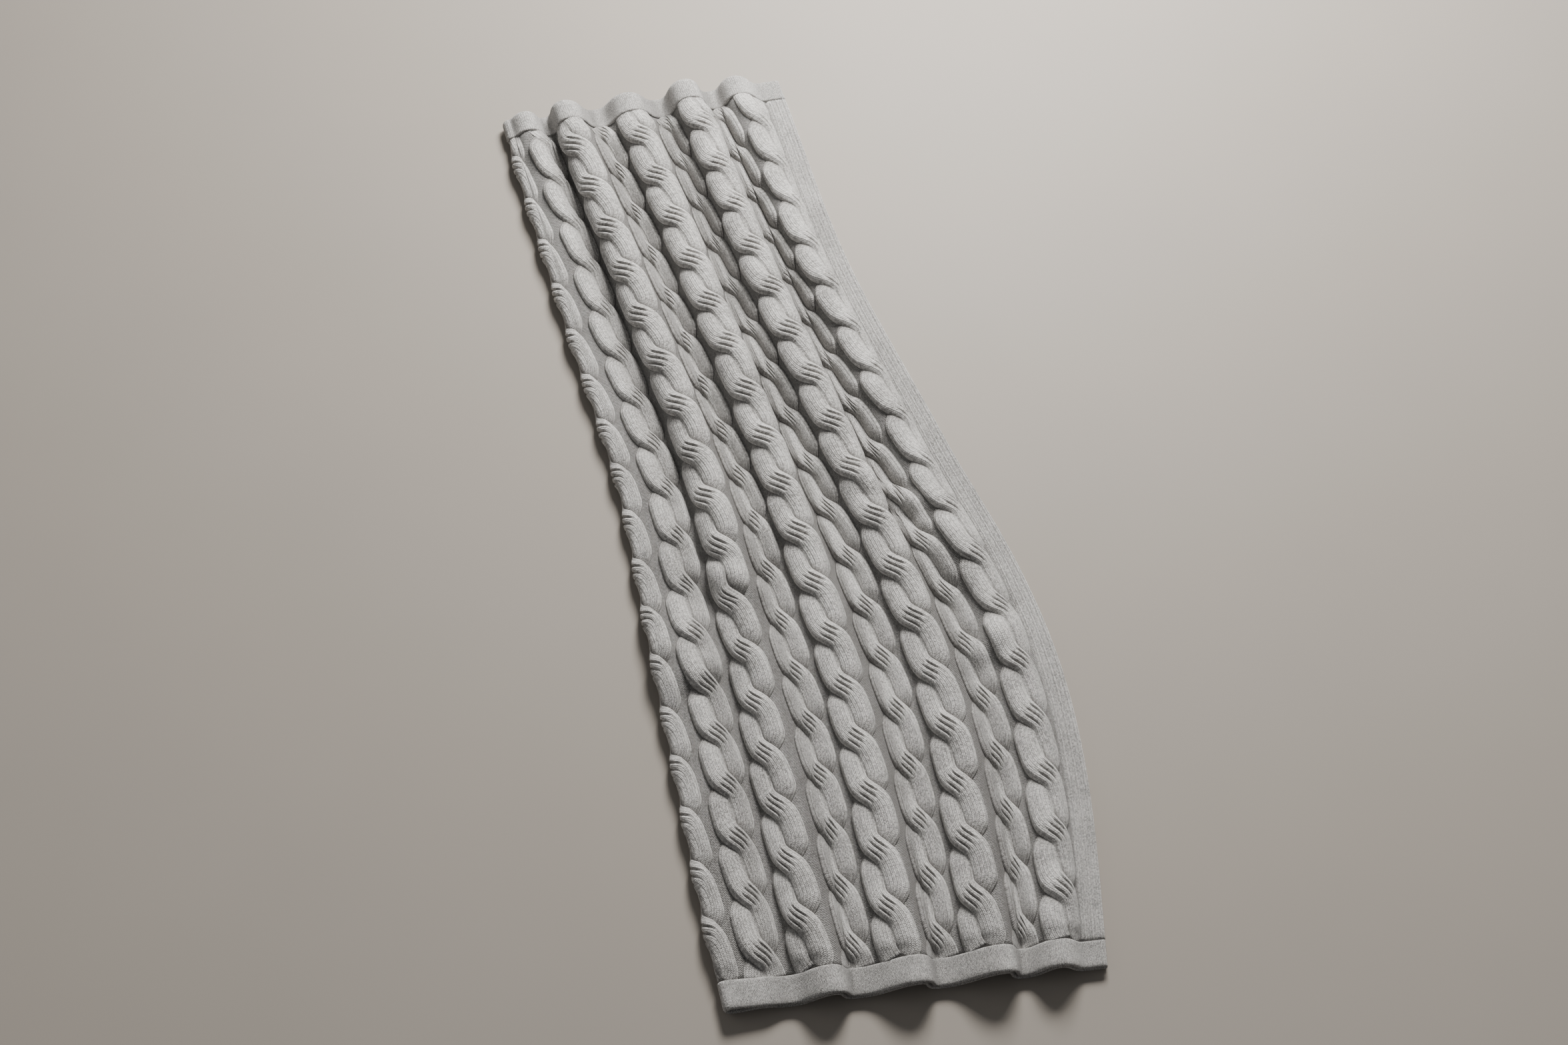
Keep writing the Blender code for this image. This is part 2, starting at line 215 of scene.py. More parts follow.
# The ground and the side bands, with a groove at their seam and soft ribs from there
BAND_STEP = 0.003  # the cloth that a change of thickness takes
LOWER_GROUND = 0.002
RIB_RISE = 0.0007
RIB_PITCH = 0.0062
RIB_START = 0.004  # the cloth that the ribs take to grow
GROOVE_DEPTH = 0.0014
GROOVE_REACH = 0.0018
RIM_THINNING = 0.45
RIM_REACH = 0.004
SHADED_TO = (-0.002, 0.001)  # where the ground's shade ends, from the side band's seam

# The end bands
UNEVEN_POINTS = 60
UNEVEN = 0.00025
BAND_RIM_THINNING = 0.5
BAND_RIM_REACH = 0.005
# A band's section, from the seam over its outer face and round its soft edge, then back along its
# inner face: shares of its depth from that edge and of its thickness.
BAND_SECTION = (
    {"in": 1.000, "out": 0.00},
    {"in": 1.008, "out": 0.35},
    {"in": 1.008, "out": 0.72},
    {"in": 0.985, "out": 0.92},
    {"in": 0.940, "out": 1.00},
    {"in": 0.860, "out": 0.98},
    {"in": 0.700, "out": 0.96},
    {"in": 0.500, "out": 0.97},
    {"in": 0.300, "out": 0.99},
    {"in": 0.160, "out": 0.98},
    {"in": 0.080, "out": 0.90},
    {"in": 0.025, "out": 0.74},
    {"in": 0.000, "out": 0.50},
    {"in": 0.020, "out": 0.24},
    {"in": 0.080, "out": 0.06},
    {"in": 0.200, "out": 0.00},
    {"in": 0.600, "out": 0.00},
)

# Mesh steps and numbers of points
FINE = 0.002
SHORT = 0.0005
LINE_POINTS = 721
ANGLE_POINTS = 76
SIDE_POINTS = 180
LAID_POINTS = {"edge": 14, "layer": 200, "along": 260}
GROUND_POINTS = {"fold": 10, "cables": 84, "ribs": 34, "along": 180}
COARSE_MARGIN = 0.004  # how far before the side band's seam the coarse points end and the fine ones start
FINE_MARGIN = 0.003
BAND_POINTS = {"fold": 12, "layer": 230}
RING_STEP = 0.0042
LOWER_RING_STEP = 0.010
# Places across a strand, closest at its slits and edges
HALF_STRAND_W = (0.02, 0.06, 0.10, 0.18, 0.27, 0.34, 0.38, 0.42, 0.46, 0.50, 0.57, 0.66, 0.76, 0.86, 0.94,
                 0.985, 1.0)
STRAND_W = np.array([*(-w for w in reversed(HALF_STRAND_W)), *HALF_STRAND_W])
LOWER_W = np.array([-1.0, -0.95, -0.8, -0.5, -0.2, 0.2, 0.5, 0.8, 0.95, 1.0])
# A strand's hidden back: places across it, and how far out from the inner face it lies
BACK_W = np.array([0.9, 0.0, -0.9])
BACK_THICK = 0.0012
END_OVERLAP = 0.001  # how far a cable runs under the end bands
LOWER_SHARE = 0.42  # how high the lower layer's cables are, pressed on the floor

# Stitches: how wide each is across the knit, and how long along it
WALES = 8  # in a strand
WALE = 0.0042
COURSE = 0.0027
BAND_WALE = 0.0027
BAND_COURSE = 0.0021

# Plain knit, in stitches
SLANT = 0.75  # how far each loop's legs slant along the knit
LEG_ROUND = 0.55  # how much of a stitch's height its rounded legs give, and how much its loops
LOOP_ROUND = 0.55
BETWEEN = 0.70  # where the gap between two wales starts, from a wale's middle at 0 to its side at 1
# The gap and its dots are lower, and the wool paints them with shade.
DOT_TURN = 0.25  # the dark dots in that gap: how far before each whole course, and their share of it
DOT_SHARE = 0.75
GAP_FALL = 0.3

# A strand's sides, in wales from its middle: where each band starts, is full, starts to end and ends
ROLLED = (3.30, 3.50, 3.80, 3.98)
GROOVE = (3.00, 3.20, 3.25, 3.45)
# How much the rolled wale rises, and how much the groove sinks and is painted with shade
ROLLED_RISE = 0.6
GROOVE_FALL = 0.4
GROOVE_GAP = 0.7

# Purl
SWAY = 0.24  # how wavy its ridges are
# The gaps of the purl and of the side bands' knit are painted with shade.
PURL_GAP = (0.05, 0.75)
BAND_BLEND = 0.2  # how sharply it turns into the side bands' plain knit, in wales
BAND_GAP = 0.6  # how dark their gaps are beside its own

# Wool
LIGHT_WOOL = (0.832, 0.806, 0.774, 1.0)
DARK_WOOL = (0.110, 0.104, 0.096, 1.0)
# Painted shade: the colour the wool is mixed towards where less light comes, how strongly the piece's stored
# shade counts, and how dark each stitch's gaps are painted
GAP_SHADE = (0.085, 0.078, 0.071, 1.0)
PAINTED_SHADE_DARKNESS = 0.78
STRAND_KNIT = {"depth": 0.0011, "gap_painted_shade": 0.46}
GROUND_KNIT = {"depth": 0.0016, "gap_painted_shade": 0.66}
BAND_KNIT = {"depth": 0.0011, "gap_painted_shade": 0.60}
FIBRES = {"scale": 850.0, "detail": 3.0, "roughness": 0.75}
FIBRE_RANGE = (0.34, 0.66)
FIBRE_SHARE = 0.34
CLOUDS = {"scale": 14.0, "detail": 2.0, "roughness": 0.5}
CLOUD_RANGE = (0.3, 0.7)
CLOUD_SHARE = 0.10
LOOP_SHARE = 0.24  # how much each loop's own tone counts
HEATHER_RANGE = (-0.12, 0.76)
FUZZ = {"scale": 1500.0, "detail": 2.0, "roughness": 0.8}
FUZZ_HEIGHT = 0.45
WOOL_FINISH = {
    "Roughness": 0.92,
    "Specular IOR Level": 0.15,
    "Sheen Weight": 0.22,
    "Sheen Roughness": 0.45,
}

# The studio
FLOOR = (0.330, 0.296, 0.258, 1.0)
FLOOR_MARBLING = 0.94  # how dark the floor's faint clouds are beside it
FLOOR_CLOUDS = {"scale": 3.0, "detail": 3.0, "roughness": 0.5}
FLOOR_FINISH = {"Roughness": 0.55, "Specular IOR Level": 0.2}
FLOOR_SIZE = 80
KEY = {"kind": "SUN", "place": (1.15, 2.9, 1.80), "power": 1.9, "colour": (1.0, 0.985, 0.96)}
KEY_ANGLE = 12  # how wide it is in the sky, in degrees
SIDE = {"kind": "SUN", "place": (-4.2, 1.8, 2.3), "power": 0.30, "colour": (1.0, 0.99, 0.97)}
SIDE_ANGLE = 40
OVERHEAD = {"kind": "POINT", "place": (0.65, 2.0, 1.70), "power": 610, "colour": (1.0, 0.99, 0.97)}
OVERHEAD_RADIUS = 0.5
ROOM = (0.93, 0.94, 0.96, 1.0)
ROOM_POWER = 0.165
# Its angles in degrees and its lens in millimetres
CAMERA = {"azimuth": -6, "elevation": 61, "distance": 4.3, "target": (-0.003, -0.055, 0.02), "lens": 58}

# One stream of chance: each piece draws from it in turn, as it is made.
SEED = 7
RANDOM = np.random.default_rng(SEED)
WANDERS = RANDOM.normal(0, WANDER, (WHOLE_CABLES + 1, WANDER_POINTS))


# The laid cloth


def eased(values, along):
    """A table list's value at each place along the throw, on a smooth curve through the stations."""
    slope = np.gradient(values, STATIONS)
    i = np.clip(np.searchsorted(STATIONS, along, side="right") - 1, 0, len(STATIONS) - 2)
    length = np.diff(STATIONS)[i]
    share = (along - np.take(STATIONS, i)) / length
    near, far = np.take(values, i), np.take(values, i + 1)
    near_slope, far_slope = slope[i] * length, slope[i + 1] * length
    change = far - near
    cubed = near_slope + far_slope - 2 * change
    squared = 3 * change - 2 * near_slope - far_slope
    return near + share * (near_slope + share * (squared + share * cubed))


def summed(values, step, axis):
    """The running integral along an axis, starting at 0."""
    trapezia = np.cumsum(values, axis) - values / 2
    return (trapezia - np.take(trapezia, [0], axis)) * step


def hump(share):
    """1 at 0, falling softly to 0 at -1 and 1."""
    return np.where(np.abs(share) < 1, np.cos(math.pi / 2 * np.clip(share, -1, 1)) ** 2, 0)


def bell(distance, reach, power=2):
    """1 at 0, falling towards 0 past the reach, the more suddenly the higher the power."""
    return np.exp(-((np.abs(distance) / reach) ** power))


def ramp(low, high, value):
    """0 below low and 1 above high, with a smooth step between."""
    share = np.clip((value - low) / (high - low), 0, 1)
    return share * share * (3 - 2 * share)


def steepest(ratio):
    """The steepest angle of a fold's side whose rise is this share of its width of cloth."""
    angles = np.linspace(0, STEEP_LIMIT, ANGLE_POINTS)
    middles = (np.arange(SIDE_POINTS) + 0.5) / SIDE_POINTS
    lifts = np.sin(angles[:, None] * np.sin(math.pi * middles)).mean(1)
    return np.interp(ratio, lifts, angles)


def slopes(across, along):
    """The slope angle of the laid cloth, and its curvature, at each along and across."""
    angle = np.zeros((len(along), len(across)))
    bend = np.zeros_like(angle)
    for fold in FOLDS:
        start, crest, end, rise = (eased(fold[k], along)[:, None] for k in ("start", "crest", "end", "rise"))
        for low, high, sign in ((start, crest, 1), (crest, end, -1)):
            width = high - low
            most = sign * steepest(rise / width)
            share = (across - low) / width
            inside = (share > 0) & (share < 1)
            angle += np.where(inside, most * np.sin(math.pi * share), 0)
            bend += np.where(inside, most * math.pi / width * np.cos(math.pi * share), 0)
    return angle, bend


def middle_line():
    """Where the throw's middle lies, seen from above: along, x, y and the angle that its rows turn."""
    along = np.linspace(0, THROW_LENGTH, LINE_POINTS)
    x = eased(MIDDLE_X, along)
    lean = np.gradient(x, along)
    y = summed(np.sqrt(1 - lean**2), along[1], 0)
    return along, x, NEAR_Y + y, -TURN_SHARE * np.arcsin(lean)


def swelling(inward, along):
    """How much the swells lift the cloth."""
    lift = np.zeros_like(inward)
    for s in SWELLS:
        sideways = (inward - s["across"]) / s["half_across"]
        lengthways = (along - s["along"]) / s["half_along"]
        lift += s["rise"] * hump(sideways) * hump(lengthways)
    return lift


def creasing(across, along):
    """How much the small creases lift the upper layer."""
    lift = np.zeros_like(across)
    for c in CREASES:
        angle = math.radians(c["angle"])
        x, y = across - c["across"], along - c["along"]
        run = (x * math.cos(angle) + y * math.sin(angle)) / c["half_long"]
        off = (y * math.cos(angle) - x * math.sin(angle)) / c["half_wide"]
        lift += c["rise"] * hump(run) * hump(off)
    return lift


def overhung(across, along):
    """How dark the foot of each fold's steep side is, where the fold hangs over it."""
    shade = np.zeros(np.broadcast(across, along).shape)
    for fold in FOLDS[:-1]:
        crest, end, rise = (eased(fold[k], along) for k in ("crest", "end", "rise"))
        side = (across - crest) / (end - crest)
        past = ramp(0, FOOT, across - end)
        shade += np.sqrt(rise / HIGHEST_RISE) * ramp(OVERHANG_START, OVERHANG_FULL, side) * (1 - past)
    return OVERHANG_SHADE * shade


def cloth(across_nodes, along_nodes):
    """The inner face of the folded throw on a grid of cloth coordinates: points, outward normals, and
    how sharply the cloth closes in on its outer side."""
    fine = np.linspace(0, LAID_WIDTH, round(LAID_WIDTH / FINE) + 1)
    angle, bend = slopes(fine, along_nodes)
    reach = summed(np.cos(angle), fine[1], 1)
    lift = summed(np.sin(angle), fine[1], 1)
    line, line_x, line_y, line_turn = middle_line()
    middle_x, middle_y, turn = (np.interp(along_nodes, line, t) for t in (line_x, line_y, line_turn))

    inward = np.maximum(np.abs(across_nodes) - EDGE_ARC, 0)
    side = np.clip(across_nodes / EDGE_ARC, -1, 1)
    round_edge = side * math.pi / 2
    gap = ROLL + (HALF_GAP - ROLL) * ramp(0, ROLL_FADE, inward)
    points = np.zeros((len(along_nodes), len(across_nodes), 3))
    closing = np.zeros(points.shape[:2])
    for i, along in enumerate(along_nodes):
        flat = np.interp(inward, fine, reach[i]) - reach[i, -1] / 2
        slope = np.interp(inward, fine, angle[i])
        height = LOWER + gap + np.interp(inward, fine, lift[i]) + swelling(inward, along)
        flat -= gap * np.where(inward > 0, side * np.sin(slope), np.cos(round_edge))
        height += gap * np.where(inward > 0, side * np.cos(slope), np.sin(round_edge))
        height += creasing(across_nodes, along) * (across_nodes > 0)
        points[i, :, 0] = middle_x[i] + flat * math.cos(turn[i])
        points[i, :, 1] = middle_y[i] + flat * math.sin(turn[i])
        points[i, :, 2] = height
        closing[i] = np.maximum(0, side * np.interp(inward, fine, bend[i])) * (inward > 0)
    normals = np.cross(np.gradient(points, axis=1), np.gradient(points, axis=0))
    normals /= np.linalg.norm(normals, axis=2, keepdims=True)
    return points, normals, closing


def both_layers(upper):
    """Places across the upper layer, from the folded edge, with the lower layer's before them."""
    return np.concatenate([-upper[:0:-1], upper])


class Laid:
    """The laid cloth on a fine grid, read between its nodes."""

    def __init__(self):
        edge = np.linspace(0, 2 * EDGE_ARC, LAID_POINTS["edge"])
        layer = np.linspace(2 * EDGE_ARC, HALF_WIDTH, LAID_POINTS["layer"])[1:]
        self.across = both_layers(np.concatenate([edge, layer]))
        self.along = np.linspace(0, THROW_LENGTH, LAID_POINTS["along"])
        points, normals, closing = cloth(self.across, self.along)
        self.grid = np.concatenate([points, normals, closing[:, :, None]], 2)

    def place(self, across, along, thick):
        """The points that stand this far out from the inner face at these cloth coordinates."""
        across, along, thick = np.broadcast_arrays(across, along, thick)
        i = np.clip(np.searchsorted(self.along, along, side="right") - 1, 0, len(self.along) - 2)
        j = np.clip(np.searchsorted(self.across, across, side="right") - 1, 0, len(self.across) - 2)
        s = ((along - self.along[i]) / (self.along[i + 1] - self.along[i]))[..., None]
        t = ((across - self.across[j]) / (self.across[j + 1] - self.across[j]))[..., None]
        near = self.grid[i, j] * (1 - t) + self.grid[i, j + 1] * t
        far = self.grid[i + 1, j] * (1 - t) + self.grid[i + 1, j + 1] * t
        at = near * (1 - s) + far * s
        point, normal, closing = at[..., :3], at[..., 3:6], at[..., 6]
        crowd = closing * thick / SQUEEZE
        squeezed = thick / (1 + crowd**SQUEEZE_POWER) ** (1 / SQUEEZE_POWER)
        point = point + normal * squeezed[..., None]
        point[..., 2] = np.maximum(point[..., 2], 0)
        return point


# Meshes


def grid_mesh(shape, start=0, closed_columns=False):
    """Four-sided faces over a grid of points, its rows first."""
    rows, columns = shape
    faces = []
    spans = columns if closed_columns else columns - 1
    for i in range(rows - 1):
        row = start + i * columns
        for j in range(spans):
            k = (j + 1) % columns
            faces.append((row + j, row + k, row + columns + k, row + columns + j))
    return faces


def tube_mesh(shape):
    """Faces over a grid whose rows are closed rings, with a face over each end."""
    rows, columns = shape
    ends = [tuple(range(columns))[::-1], tuple(range((rows - 1) * columns, rows * columns))]
    return grid_mesh(shape, closed_columns=True) + ends


def flipped(faces):
    """The same faces, turned to face the other way."""
    return [face[::-1] for face in faces]


def add_piece(name, points, faces, stitches, material, node=None):
    """A smooth mesh piece, with the stitch that each point lies on as its UV map."""
    mesh = bpy.data.meshes.new(name)
    mesh.from_pydata(np.asarray(points).tolist(), [], faces)
    mesh.shade_smooth()
    layer = mesh.uv_layers.new(name="Stitch")
    corners = np.zeros(len(mesh.loops), np.int32)
    mesh.loops.foreach_get("vertex_index", corners)
    layer.data.foreach_set("uv", np.asarray(stitches, np.float32)[corners].ravel())
    mesh.materials.append(material)
    piece = bpy.data.objects.new(name, mesh)
    bpy.context.scene.collection.objects.link(piece)
    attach(piece, "root")
    if node:
        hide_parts(node)
    return piece


def paint_shade(piece, shades, across, along):
    """Painted shade on a piece: how deep each point lies among its neighbours, where less light comes, with
    the folds' overhang shade joined in, kept for the wool to darken its colour by.
    """
    shades = 1 - (1 - np.clip(shades, 0, 1)) * (1 - overhung(across, along))
    painted_shade = piece.data.attributes.new("PaintedShade", "FLOAT", "POINT")
    painted_shade.data.foreach_set("value", shades.ravel().astype(np.float32))


# Cables


def column(cable, along):
    """How far across a cable's middle is at each place along."""
    wander = np.interp(along, np.linspace(0, THROW_LENGTH, WANDER_POINTS), WANDERS[cable])
    return cable * COLUMN_PITCH + COLUMN_SHIFTS[cable] + wander


def strand_line(cable, strand, along):
    """How far one strand's middle is from its cable's at each place along, and its place from the
    nearest crossing where it is in front."""
    first = END_BAND + (ODD_CROSSING if cable % 2 else EVEN_CROSSING) * CROSSING_PITCH
    place = (along - first) / CROSSING_PITCH - strand
    from_front = place - 2 * np.round(place / 2)
    behind = 1 - np.abs(from_front)
    drift = np.sin(math.pi / 2 * np.clip(from_front / DRIFT, -1, 1))
    swap = (1 - DRIFT_SHARE) * np.tanh(from_front / FRONT_SWAP) + DRIFT_SHARE * drift
    swap *= np.sin(math.pi / 2 * np.clip(behind / BACK_SWAP, 0, 1))
    return -SIDEWAYS * swap, from_front


def half_width(from_front):
    """Half a strand's width, which grows as it crosses in front."""
    return HALF_STRAND * (1 + FRONT_SPREAD * bell(from_front, FRONT_SPREAD_REACH))


def strand_relief(w, from_front, sideways, stretch):
    """A strand's height over the ground for each ring and each w, how much further it reaches there,
    and how shaded it is."""
    from_front = from_front[:, None]
    q, behind = np.abs(from_front), 1 - np.abs(from_front)
    crest = LOBE_HEIGHT + FRONT_RISE * bell(q, FRONT_RISE_REACH) - BACK_FALL * bell(behind, BACK_FALL_REACH)
    section = (1 - np.abs(w) ** FLAT_TOP) ** STEEP_SIDE

    inner = -np.sign(sideways)[:, None] * w
    near = from_front < 0
    merged = np.where(near, ramp(*MERGED_NEAR, q), ramp(*MERGED_FAR, q))
    merged = merged * ramp(*MERGED_BACK, behind) * (inner > 0)
    inner = np.clip(inner, 0, 1)
    meeting = 1 - VALLEY * inner**VALLEY_POWER
    height = crest * (section * (1 - merged) + meeting * merged)

    shade = bell(behind, TUCK_REACH, TUCK_POWER) + VALLEY_SHADE * merged * inner**VALLEY_SHADE_POWER
    for slit in SLITS:
        run = (from_front - slit["shift"]) / (slit["half_long"] * stretch[:, None])
        parted = hump(run) ** SLIT_BLUNT * bell(w - slit["w"], SLIT_HALF_WIDTH)
        height -= SLIT_DEPTH * parted
        shade += SLIT_SHADE * parted
    shade += RIM_SHADE * (1 - merged) * np.abs(w) ** RIM_SHADE_POWER
    return height, 1 + INNER_SPREAD * merged, shade


def beside_front(cable, strand, across, along):
    """How near each point of one strand is to an edge of the other where that one is in front."""
    sideways, from_front = strand_line(cable, 1 - strand, along)
    ahead, _ = strand_line(cable, 1 - strand, along + SHORT)
    lean = (ahead - sideways) / SHORT
    off = np.abs(across - column(cable, along) - sideways) / np.sqrt(1 + lean**2)
    outside = np.maximum(0, off - half_width(from_front))
    fade = np.where(from_front < 0, BESIDE_NEAR, BESIDE_FAR)
    return bell(outside, BESIDE_REACH) * bell(from_front, fade, BESIDE_POWER)


def seam_share(along):
    """A cable's height as a share, which falls towards both end bands."""
    from_seam = np.minimum(along - END_BAND, THROW_LENGTH - END_BAND - along)
    return SEAM_HEIGHT + (1 - SEAM_HEIGHT) * ramp(0, SEAM_FADE, from_seam)


def strand_mesh(laid, cable, strand, w, step, lower):
    """One strand as a closed ribbon along the whole panel: points, faces, stitches and, for each point,
    its shade and its place across and along."""
    rings = round(PANEL_LENGTH / step)
    start, end = END_BAND - END_OVERLAP, THROW_LENGTH - END_BAND + END_OVERLAP
    along = np.linspace(start, end, rings)
    sideways, from_front = strand_line(cable, strand, along)
    middle = column(cable, along) + sideways
    turn = np.gradient(middle, along)
    length = np.sqrt(1 + turn**2)
    right, up = (1 / length)[:, None], (-turn / length)[:, None]

    wobble = np.interp(along, np.linspace(0, THROW_LENGTH, WOBBLE_POINTS), RANDOM.normal(0, 1, WOBBLE_POINTS))
    stretches = RANDOM.uniform(*STRETCHES, STRETCH_POINTS)
    stretch = np.interp(along, np.linspace(0, THROW_LENGTH, STRETCH_POINTS), stretches)
    half = (half_width(from_front) + WOBBLE_WIDTH * wobble)[:, None]
    height, spread, shade = strand_relief(w, from_front, sideways, stretch)
    height *= (1 + WOBBLE_HEIGHT * wobble)[:, None] * seam_share(along)[:, None]

    x = middle[:, None] + w * spread * half * right
    y = along[:, None] + w * spread * half * up
    height *= 1 - EDGE_PRESS * bell(x, EDGE_REACH)
    thick = GROUND - SINK + height
    unshaded = bell(from_front, UNSHADED_FRONT, BESIDE_POWER)[:, None]
    shade = np.maximum(shade, (1 - unshaded) * beside_front(cable, strand, x, y))

    x = np.concatenate([x, middle[:, None] + BACK_W * half * right], 1)
    y = np.clip(np.concatenate([y, along[:, None] + BACK_W * half * up], 1), start, end)
    back = np.full((rings, len(BACK_W)), BACK_THICK)
    thick = np.concatenate([thick, back], 1)
    shade = np.concatenate([shade, np.ones(back.shape)], 1)
    faces = tube_mesh(thick.shape)
    if lower:
        # The lower layer's outer face is turned over, and pressed flat on the floor.
        x = -x
        pressed = LOWER_GROUND + (thick - GROUND) * LOWER_SHARE
        thick = np.where(thick > BACK_THICK, pressed, BACK_THICK)
        faces = flipped(faces)
    points = laid.place(x, y, thick)
    course = summed(length, along[1] - along[0], 0) / COURSE
    wale = (np.concatenate([w, BACK_W]) + 1) / 2 * WALES
    stitches = np.stack(np.broadcast_arrays(wale, course[:, None]), 2)
    shades = np.stack([shade, x, y], 2)
    return points.reshape(-1, 3), faces, stitches.reshape(-1, 2), shades.reshape(-1, 3)


def add_cables(laid, name, cables, w, step, lower, material):
    """The strands of one or more cables, as one piece."""
    points, faces, stitches, shades = [], [], [], []
    count = 0
    for cable in cables:
        for strand in (0, 1):
            p, f, s, t = strand_mesh(laid, cable, strand, w, step, lower)
            points.append(p)
            faces += [tuple(count + i for i in face) for face in f]
            stitches.append(s)
            shades.append(t)
            count += len(p)
    piece = add_piece(name, np.concatenate(points), faces, np.concatenate(stitches), material)
    paint_shade(piece, *np.concatenate(shades).T)
    return piece


# The ground and the bands


def ground_thickness(across):
    """How thick the ground and the side bands are."""
    from_seam = np.abs(across) - SIDE_SEAM
    band = ramp(0, BAND_STEP, from_seam)
    upper = GROUND + (SIDE_BAND_THICK - GROUND) * band
    upper += RIB_RISE * np.cos(2 * math.pi * from_seam / RIB_PITCH) * ramp(0, RIB_START, from_seam)
    upper -= GROOVE_DEPTH * bell(from_seam, GROOVE_REACH)
    under = LOWER_GROUND + (LOWER - LOWER_GROUND) * band
    rim = 1 - RIM_THINNING * ramp(-RIM_REACH, 0, from_seam - SIDE_BAND) ** 2
    return np.where(across > 0, upper, under) * rim


def add_ground(laid, material):
    """The purl ground and side bands, one thin sheet round both layers."""
    fold = np.linspace(0, 2 * EDGE_ARC, GROUND_POINTS["fold"])[:-1]
    cables = np.linspace(2 * EDGE_ARC, SIDE_SEAM - COARSE_MARGIN, GROUND_POINTS["cables"])
    ribs = np.linspace(SIDE_SEAM - FINE_MARGIN, HALF_WIDTH, GROUND_POINTS["ribs"])
    across = both_layers(np.concatenate([fold, cables, ribs]))
    along = np.linspace(END_BAND, THROW_LENGTH - END_BAND, GROUND_POINTS["along"])
    wide, long = np.meshgrid(across, along)
    outer = laid.place(wide, long, ground_thickness(wide))
    inner = laid.place(wide, long, 0.0)
    points = np.concatenate([outer.reshape(-1, 3), inner.reshape(-1, 3)])

    rows, columns = wide.shape
    numbers = np.arange(wide.size).reshape(wide.shape)
    near, far, right, left = numbers[0], numbers[-1], numbers[:, -1], numbers[:, 0]
    rim = np.concatenate([near, right[1:], far[-2::-1], left[-2:0:-1]]).tolist()
    faces = grid_mesh((rows, columns)) + flipped(grid_mesh((rows, columns), wide.size))
    faces += [(b, a, wide.size + a, wide.size + b) for a, b in zip(rim, rim[1:] + rim[:1])]
    stitches = np.stack([wide / WALE, long / COURSE], 2).reshape(-1, 2)
    piece = add_piece("ground", points, faces, np.tile(stitches, (2, 1)), material, "cable_panel")
    shade = GROUND_SHADE * (1 - ramp(*SHADED_TO, np.abs(wide) - SIDE_SEAM))
    paint_shade(piece, *(np.stack([a, a]) for a in (shade, wide, long)))
    return piece


def add_end_band(laid, name, node, edge, inward, material):
    """A doubled band round both layers, its outer edge soft and a little uneven."""
    fold = np.linspace(0, 2 * EDGE_ARC, BAND_POINTS["fold"])[:-1]
    layer = np.linspace(2 * EDGE_ARC, HALF_WIDTH, BAND_POINTS["layer"])
    across = both_layers(np.concatenate([fold, layer]))
    depth = END_BAND * np.array([p["in"] for p in BAND_SECTION])
    out = np.array([p["out"] for p in BAND_SECTION])
    spots = np.linspace(-HALF_WIDTH, HALF_WIDTH, UNEVEN_POINTS)
    uneven = np.interp(across, spots, RANDOM.normal(0, 1, UNEVEN_POINTS))
    plump = np.where(across < 0, LOWER, BAND + UNEVEN * uneven)
    rim = 1 - BAND_RIM_THINNING * ramp(-BAND_RIM_REACH, 0, np.abs(across) - HALF_WIDTH) ** 2
    along = edge + inward * depth
    points = laid.place(across[:, None], along, (plump * rim)[:, None] * out)
    faces = tube_mesh(points.shape[:2])
    if inward < 0:
        faces = flipped(faces)
    round_section = np.append(0, np.cumsum(np.hypot(np.diff(depth), np.diff(out) * BAND)))
    stitches = np.stack(np.broadcast_arrays(across[:, None] / BAND_WALE, round_section / BAND_COURSE), 2)
    piece = add_piece(name, points.reshape(-1, 3), faces, stitches.reshape(-1, 2), material, node)
    paint_shade(piece, np.zeros(points.shape[:2]), *np.broadcast_arrays(across[:, None], along))
    return piece


# Materials


